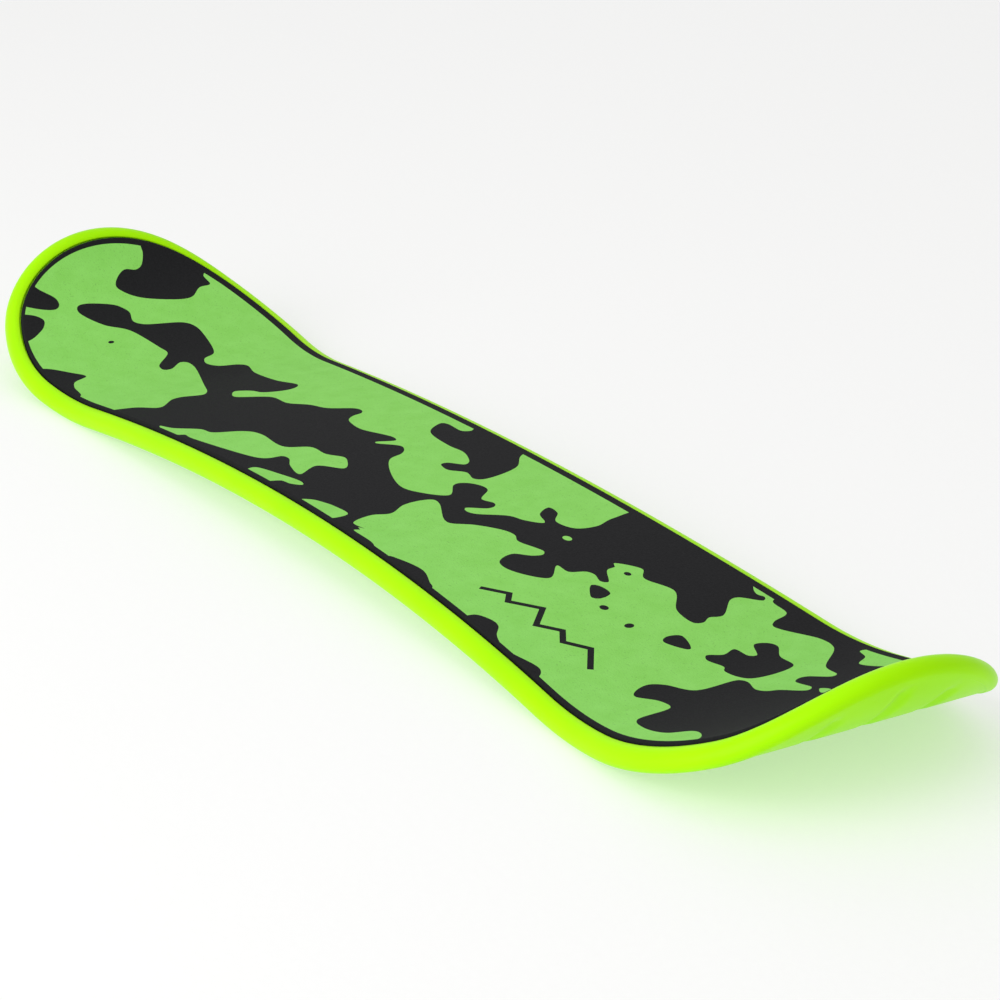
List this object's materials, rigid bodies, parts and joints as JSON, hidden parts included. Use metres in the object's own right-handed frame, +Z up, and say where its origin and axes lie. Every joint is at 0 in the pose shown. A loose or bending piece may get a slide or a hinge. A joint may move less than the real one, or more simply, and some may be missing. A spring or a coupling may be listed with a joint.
{
  "type": "bindingless snow board with stomp pad",
  "caption": "Plastic snow board without bindings: moulded body with a rounded rim, kicked tips and a glued-in foam stomp pad over the whole deck.",
  "frame": {"origin": "middle of the grip pad's top face, midway between the tips and on the centre line", "axes": "+X along the board towards the nose, +Y to the board's left, +Z up out of the deck"},
  "size_m": [0.8958, 0.2016, 0.0761],
  "materials": {
    "hdpe_lime": "satin",
    "eva_foam_black": "matte",
    "acrylic_adhesive": "matte"
  },
  "bodies": {
    "root": {"board_body": "hdpe_lime", "grip_pad": "eva_foam_black", "pad_adhesive": "acrylic_adhesive"}
  },
  "joints": []
}
